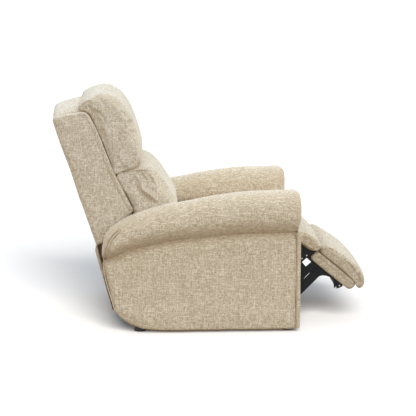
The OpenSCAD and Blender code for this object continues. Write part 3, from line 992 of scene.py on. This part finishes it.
def pillow_details(ob):
    x = -262
    # boxing seam between the face and the side of the pillow
    ring = [
        (594, 132), (600, 180), (590, 224), (558, 262), (508, 287),
        (437, 294), (362, 292), (308, 284), (274, 262), (268, 200),
    ]
    seam(ob, side(x, back_points(ring)), NEAR, 1.0, 3.5, 0.5, 30, 2)
    for a, b, c, depth, width in (
        ((574, 160), (545, 186), (505, 206), 1.6, 6),
        ((560, 184), (516, 200), (462, 208), 1.2, 6),
        ((446, 226), (400, 236), (340, 240), 1.3, 5),
        ((452, 264), (426, 246), (398, 218), 1.5, 5),
        ((350, 200), (320, 208), (285, 218), 1.6, 6),
        ((324, 284), (300, 268), (281, 250), 3.2, 5),
        ((314, 296), (292, 284), (272, 276), 2.6, 4),
        ((296, 180), (288, 210), (284, 240), 1.8, 5),
    ):
        pull(ob, side(x, back_points((a, b, c))), NEAR, depth, width)
    return ob


head = head_pillow()
pillow_details(head)
# soft folds across its top, and pulls at its lower and upper edges
for k, (s, t) in enumerate(((613, 190), (601, 226), (588, 256))):
    f, z = back(s, t)
    line = [
        P(x, f + 1.5 * math.sin(x / 40 + k), z + 1.5 * math.cos(x / 55))
        for x in np.linspace(-236, 236, 40)
    ]
    fold(head, line, (0, math.cos(0.6), -math.sin(0.6)), 3.0 - 0.6 * k, 9, 0.08)
for x0 in (-210, -130, -40, 60, 140, 215):
    for lo, hi, depth in ((270, 330, 2.2), (560, 610, 1.5)):
        pts = [P(x0 + 0.08 * x0 * k, *back(lo + (hi - lo) * k, 312)) for k in (0, 0.5, 1)]
        pull(head, pts, FACE, depth, 8)
finish_piece(head, "backrest", CUSHION_BACK, "cushion_fabric", "head_pillow", padded=0.75)

LUMBAR_MID = [
    (-256, 466), (-100, 464), (-83, 482), (-82, 512), (-99, 554), (-127, 601), (-158, 650), (-190, 692),
    (-214, 716), (-250, 714), (-300, 696), (-360, 678), (-337, 622), (-303, 552),
]
LUMBAR_END = [
    (-256, 466), (-104, 464), (-89, 482), (-89, 510), (-105, 551), (-132, 597), (-163, 644),
    (-194, 683), (-217, 704), (-252, 705), (-300, 694), (-362, 678), (-339, 622), (-305, 552),
]
LUMBAR_CORE = [
    (-236, 468), (-120, 468), (-130, 540), (-230, 690), (-300, 684), (-334, 666), (-336, 640),
    (-280, 540), (-262, 476),
]


def lumbar_cushion():
    ob = pillow("lumbar_cover", LUMBAR_MID, LUMBAR_END, LUMBAR_HALF, 2.8, 46, held=clear_of_shell)
    join(ob, [pillow("core", LUMBAR_CORE, LUMBAR_CORE, CORE_HALF, 2, 8)])
    remesh(ob, 5.5)
    relax(ob, 5)
    inflate(ob, 9, 4.0, slack=0.02)
    subdivide(ob)
    keep_within(ob, 0, -LUMBAR_HALF, LUMBAR_HALF, 5)
    keep_within(ob, 2, 463, None, 4)
    uneven(ob, 1.3, 120, 12)
    x = -259
    # the deep pull low on the side, and the seam round its top
    pull(ob, side(x, [(-268, 628), (-240, 590), (-210, 562), (-176, 540)]), NEAR, 8.5, 8, 0.25)
    pull(ob, side(x, [(-228, 594), (-206, 572), (-184, 556)]), NEAR, 5.5, 5, 0.3)
    pull(ob, side(x, [(-280, 668), (-258, 632), (-242, 604)]), NEAR, 3.5, 7)
    pull(ob, side(x, [(-222, 676), (-200, 652), (-184, 618)]), NEAR, 3.2, 6)
    pull(ob, side(x, [(-248, 690), (-236, 664), (-216, 640)]), NEAR, 2.8, 6)
    seam(ob, side(x, [(-322, 684), (-284, 682), (-244, 684), (-206, 684)]), NEAR, 3.4, 3.6, 1.4, 24)
    border = [(-206, 680), (-180, 640), (-150, 590), (-128, 545), (-118, 500)]
    seam(ob, side(x, border), NEAR, 1.0, 4, 0.6, 30)
    for x0 in (-205, -120, -35, 45, 130, 210):
        pull(ob, [P(x0, -190, 700), P(x0 * 1.03, -165, 660), P(x0 * 1.04, -150, 628)], FACE, 2.2, 9)
    return ob


finish_piece(lumbar_cushion(), "backrest", CUSHION_BACK, "cushion_fabric", "lumbar_cushion", padded=0.7)

# ---- seat cushion ------------------------------------------------------------
SEAT = [
    (-222, 354), (402, 354), (408, 400), (404, 436), (384, 456), (320, 463), (120, 464), (-60, 456),
    (-176, 446), (-222, 440),
]
SEAT_ROUND = [12, 12, 20, 16, 24, 40, 60, 60, 30, 16]


def seat_cushion():
    ob = bun("seat_cover", rounded(SEAT, SEAT_ROUND), -259, 259, 26, 110)
    remesh(ob, 6)
    relax(ob, 4)
    inflate(ob, 12, 4.0, slack=0.01, held=lambda c: np.clip((c[:, 2] * 1000 - 372) / 40, 0, 1))
    subdivide(ob)
    keep_within(ob, 0, -262, 262, 4)
    keep_within(ob, 2, 354, None, 2)
    uneven(ob, 1.4, 150, 14)
    border = [(-215, 432), (-60, 442), (120, 446), (300, 445), (374, 436), (392, 410), (396, 372)]
    for x in (-262, 262):
        seam(ob, side(x, border), outward(x), 1.6, 4, 0.7, 34)
    edge = [P(x, 405, 437) for x in np.linspace(-246, 246, 40)]
    seam(ob, edge, (0, 0.82, -0.57), 2.2, 4, 0.9, 36)
    for x0, x1 in ((-225, -190), (-150, -140), (150, 138), (226, 192)):
        pull(ob, [P(x0, 392, 452), P((x0 + x1) / 2, 360, 460), P(x1, 320, 463)], (0, 0, -1), 1.6, 10)
    for x0 in (-200, -90, 30, 120, 205):
        pull(ob, [P(x0, 409, 425), P(x0 * 1.03, 409, 405), P(x0 * 1.03, 408, 380)], FACE, 1.4, 9)
    return ob


finish_piece(seat_cushion(), "seat", CUSHION, "cushion_fabric", "seat_cushion", padded=0.85)

# ---- legrest -----------------------------------------------------------------
PAD_X = 258
KNEE_MID = [
    (429, 417), (454, 419), (486, 411), (513, 390), (533, 365), (542, 344), (528, 325), (500, 328),
    (470, 344), (436, 370), (412, 381), (405, 396), (412, 414),
]
KNEE_END = [
    (429, 416), (448, 412), (478, 400), (505, 382), (528, 358), (541, 340), (527, 325), (500, 327),
    (470, 343), (436, 370), (412, 381), (406, 396), (412, 410),
]
PAD_MID = [
    (531, 318), (572, 284), (612, 252), (650, 219), (692, 180), (700, 158), (720, 155), (735, 172),
    (739, 199), (725, 229), (705, 258), (681, 284), (648, 311), (611, 331), (582, 342), (560, 345),
    (544, 341), (534, 332),
]
PAD_END = [
    (533, 320), (572, 287), (612, 255), (650, 222), (690, 183), (697, 160), (712, 154), (727, 163),
    (731, 186), (725, 208), (712, 230), (690, 256), (658, 285), (622, 310), (592, 331), (568, 345),
    (550, 350), (538, 338),
]
BOARD = [(490, 293), (510, 275), (668, 145), (700, 178), (521, 328)]


def knee_cushion():
    ob = pillow("knee_pad_cover", KNEE_MID, KNEE_END, PAD_X + 3, 2.4, 14)
    remesh(ob, 4.5)
    relax(ob, 4)
    inflate(ob, 5, 4.0, slack=0.02, held=lambda c: np.clip((c[:, 1] - (Y_MID - 0.455)) / -0.03, 0, 1))
    subdivide(ob)
    keep_within(ob, 0, -262, 262, 4)
    uneven(ob, 0.8, 90, 16)
    for x in (-PAD_X, PAD_X):
        line = side(x, [(440, 410), (470, 402), (492, 391), (512, 375), (530, 356)])
        seam(ob, line, outward(x), 3.6, 3.0, 1.2, 24)
        for a, b in (((518, 352), (500, 350)), ((524, 344), (508, 338)), ((524, 362), (510, 366))):
            middle = ((a[0] + b[0]) / 2, (a[1] + b[1]) / 2 + 2)
            pull(ob, side(x, [a, middle, b]), outward(x), 1.6, 5)
    for x0 in (-215, -130, -50, 40, 125, 215):
        pts = [P(x0, 530, 366), P(x0 * 1.02, 515, 388), P(x0 * 1.02, 492, 404)]
        pull(ob, pts, (0, 0.7, -0.7), 1.8, 9)
    return ob


def above_board(co):
    """0 for the points of the pad that rest on the board, 1 well above it."""
    f, z = (Y_MID - co[:, 1]) * 1000, co[:, 2] * 1000
    return np.clip(((z - 325) - (536 - f) * 0.86 - 6) / 40, 0, 1)


def foot_cushion():
    ob = pillow("footrest_pad_cover", PAD_MID, PAD_END, PAD_X + 3, 2.4, 14)
    remesh(ob, 4.5)
    relax(ob, 4)
    inflate(ob, 4, 4.0, slack=0.02, held=above_board)
    subdivide(ob)
    keep_within(ob, 0, -263, 263, 5)
    uneven(ob, 1.0, 110, 18)
    border = [(548, 352), (566, 343), (592, 326), (619, 306), (650, 279), (678, 248), (700, 216), (712, 190)]
    creases = (
        ((556, 330), (570, 338)),
        ((640, 262), (634, 284)),
        ((662, 240), (660, 262)),
        ((684, 214), (680, 238)),
        ((612, 286), (600, 304)),
    )
    for x in (-PAD_X, PAD_X):
        seam(ob, side(x, border), outward(x), 3.6, 3.2, 1.4, 26)
        for a, b in creases:
            middle = ((a[0] + b[0]) / 2 + 2, (a[1] + b[1]) / 2)
            pull(ob, side(x, [a, middle, b]), outward(x), 1.8, 5.5)
    for x0 in (-222, -150, -70, 20, 100, 170, 225):
        upper = [P(x0, 552, 374), P(x0 * 1.02, 580, 372), P(x0 * 1.03, 612, 360)]
        pull(ob, upper, (0, 0.3, -0.95), 2.0, 9)
        lower = [P(x0, 742, 196), P(x0 * 1.02, 735, 226), P(x0 * 1.02, 722, 256)]
        pull(ob, lower, (0, 0.9, -0.4), 1.5, 9)
    return ob


def foot_board():
    ob = bun("footrest_board_cover", rounded(BOARD, [17, 20, 20, 20, 20], 6), -PAD_X - 1, PAD_X + 1, 15)
    remesh(ob, 4)
    relax(ob, 3)
    subdivide(ob)
    uneven(ob, 0.7, 60, 20)
    for x in (-PAD_X, PAD_X):
        line = side(x, [(506, 306), (530, 292), (580, 252), (630, 210), (684, 166)])
        seam(ob, line, outward(x), 1.2, 3.0, 0.5, 18)
    return ob


def rivets():
    """Pale rivet heads on the outer faces of the legrest brackets."""
    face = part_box("footrest_brackets")[0][0] * 1000
    turn = np.arange(0, 2 * math.pi, math.pi / 8)
    profile = ((-0.2, 3.4), (0.25, 3.2), (0.4, 2.0))  # (height above the face, radius)
    heads = []
    for f, z in ((455, 291), (476, 304), (606, 160), (622, 168), (637, 169), (527, 238)):
        for way in (1, -1):
            rows = [
                [P(way * (face - d), f + r * math.cos(a), z + r * math.sin(a)) for a in turn]
                for d, r in profile
            ]
            heads.append(rings("head", rows))
    return join(heads[0], heads[1:])


rivet_heads = rivets()
rivet_heads.name = "legrest_rivets"
finish_piece(rivet_heads, "footrest", MADE["zinc_steel"], "zinc_steel")
# the legrest's pads and board take the darker linen of painted shade
finish_piece(knee_cushion(), "footrest", CUSHION_LEG_SHADED, "cushion_fabric", "knee_pad", padded=0.7)
finish_piece(foot_cushion(), "footrest", CUSHION_LEG_SHADED, "cushion_fabric", "footrest_pad", padded=0.75)
finish_piece(foot_board(), "footrest", CUSHION_LEG_SHADED, "cushion_fabric", "footrest_board", padded=0.95)

# ---- rear flap ---------------------------------------------------------------
FLAP = [(-434, 370), (-443, 346), (-435, 300), (-414, 222), (-394, 146), (-374, 72)]
FLAP_W = 0.494


def flap():
    line = smooth_line(FLAP, 6)
    xs = np.linspace(-FLAP_W / 2, FLAP_W / 2, 90)
    rows = []
    for k, (f, z) in enumerate(line):
        low = k / (len(line) - 1)
        wave = [1.3 * low * math.sin(x * 46 + 0.7) + 0.7 * low * math.sin(x * 91) for x in xs]
        rows.append([(x, Y_MID - (f + w) / 1000, z / 1000) for x, w in zip(xs, wave)])
    n = len(xs)
    verts = [v for r in rows for v in r]
    faces = [
        (k * n + i, k * n + i + 1, (k + 1) * n + i + 1, (k + 1) * n + i)
        for k in range(len(rows) - 1)
        for i in range(n - 1)
    ]
    ob = mesh("back_flap_cloth", verts, faces)
    m = ob.modifiers.new("thickness", "SOLIDIFY")
    m.thickness = 0.0022
    m.offset = 0
    bake(ob)
    fix_normals(ob)
    # its side edges are turned forward
    turned = [(f + np.interp(z, [72, 215, 260, 340, 356], [3, 4, 12, 13, 4]), z) for f, z in line]
    outline = [tuple(p) for p in line] + turned[::-1]
    for x in (-1000 * FLAP_W / 2, 1000 * FLAP_W / 2):
        join(ob, [slab("hem", outline, x - 3, x + 3)])
    length = float(np.linalg.norm(np.diff(line, axis=0), axis=1).sum()) / 1000
    return ob, length


def flap_shade_strips():
    """Black strips inside the flap's lower side edges: painted shade, a dark sheet where the gap beside the
    flap lies in shade.
    """
    line = [(f, z) for f, z in smooth_line(FLAP, 6) if z < 225]
    inner = [(f + np.interp(z, [72, 225], [19, 9]), z) for f, z in line]
    outline = [(f + 3, z) for f, z in line] + inner[::-1]
    strips = [slab("shade_strips", outline, x - 2, x + 2) for x in (-244, 244)]
    return join(strips[0], strips[1:])


# black strips of painted shade in the flap's lower side edges
shade_strips = flap_shade_strips()
shade_strips.name = "back_flap_shade_strips"
finish_piece(shade_strips, "base", MADE["black_plastic"], "black_plastic")
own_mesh(shade_strips)
flap_cloth, flap_length = flap()
finish_piece(flap_cloth, "base", CLOTH, "fabric", "back_flap")
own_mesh(flap_cloth)

# ---- floor, light and camera -------------------------------------------------
FLOOR = 150
corners = [(-FLOOR, -FLOOR, 0), (FLOOR, -FLOOR, 0), (FLOOR, FLOOR, 0), (-FLOOR, FLOOR, 0)]
floor = mesh("floor", corners, [(0, 1, 2, 3)])
g = Graph("floor_pale")
g.look(
    Base_Color=g.mix(g.noise(1 / 0.6, 2), (0.36, 0.346, 0.332, 1), (0.37, 0.356, 0.342, 1)),
    Roughness=0.9,
    Specular_IOR_Level=0.0,
)
floor.data.materials.append(g.material)
floor.visible_diffuse = False

# A white studio, dimmer below the horizon so that the floor doesn't light the chair from under it
world = bpy.data.worlds.new("studio")
bpy.context.scene.world = world
world.use_nodes = True
nodes, links = world.node_tree.nodes, world.node_tree.links
height = nodes.new("ShaderNodeSeparateXYZ")
links.new(nodes.new("ShaderNodeTexCoord").outputs["Generated"], height.inputs[0])


def ramp(low, high, at_low, at_high):
    n = nodes.new("ShaderNodeMapRange")
    for k, v in enumerate((low, high, at_low, at_high), 1):
        n.inputs[k].default_value = v
    links.new(height.outputs[2], n.inputs[0])
    return n.outputs[0]


glow = nodes.new("ShaderNodeMath")
links.new(ramp(-0.12, 0.04, 0.39, 0.98), glow.inputs[0])
links.new(ramp(0.0, 0.9, 0.0, 0.46), glow.inputs[1])
camera_ray = nodes.new("ShaderNodeLightPath").outputs["Is Camera Ray"]
seen = nodes.new("ShaderNodeMix")
links.new(camera_ray, seen.inputs[0])
links.new(glow.outputs[0], seen.inputs[2])
seen.inputs[3].default_value = 1.0


def blend(factor, a, b):
    """A colour from a to b. a is a colour or another blend."""
    n = nodes.new("ShaderNodeMix")
    n.data_type = "RGBA"
    links.new(factor, n.inputs[0])
    if isinstance(a, tuple):
        n.inputs[6].default_value = a
    else:
        links.new(a, n.inputs[6])
    n.inputs[7].default_value = b
    return n.outputs[2]


# warm below the horizon, cool overhead, plain white to the camera
tint = blend(ramp(-0.1, 0.1, 0.0, 1.0), (1.0, 0.91, 0.76, 1), (1.0, 0.97, 0.92, 1))
tint = blend(ramp(0.0, 0.9, 0.0, 1.0), tint, (0.80, 0.94, 1.12, 1))
tint = blend(camera_ray, tint, (1, 1, 1, 1))
links.new(tint, nodes["Background"].inputs[0])
links.new(seen.outputs[0], nodes["Background"].inputs[1])


def sun(name, toward, energy, angle, tint, lights_floor):
    """A soft sun that lights either the chair or the floor."""
    data = bpy.data.lights.new(name, "SUN")
    data.energy = energy
    data.angle = math.radians(angle)
    data.color = tint
    ob = add_object(name, data)
    ob.rotation_euler = Vector(toward).to_track_quat("Z", "Y").to_euler()
    lit = bpy.data.collections.new(name + "_lights")
    lit.objects.link(floor)
    lit.collection_objects[0].light_linking.link_state = "INCLUDE" if lights_floor else "EXCLUDE"
    ob.light_linking.receiver_collection = lit
    return ob


sun("key", (-0.12, -0.74, 0.66), 1.12, 50, (0.82, 0.955, 1.07), False)
sun("floor_light", (-0.76, -0.10, 0.46), 12.5, 36, (1, 1, 1), True)

LENS = 126.1
AZIMUTH, ELEVATION = math.radians(267.11), math.radians(10.158)
TARGET = Vector((0, 0.0064, 0.4751))
DISTANCE = 6.554
data = bpy.data.cameras.new("camera")
data.lens = LENS
data.sensor_width = 36
camera = add_object("camera", data)
level = math.cos(ELEVATION)
away = Vector((math.sin(AZIMUTH) * level, -math.cos(AZIMUTH) * level, math.sin(ELEVATION)))
camera.location = TARGET + away * DISTANCE
camera.rotation_euler = away.to_track_quat("Z", "Y").to_euler()
bpy.context.scene.camera = camera
bpy.context.scene.view_settings.view_transform = "Standard"
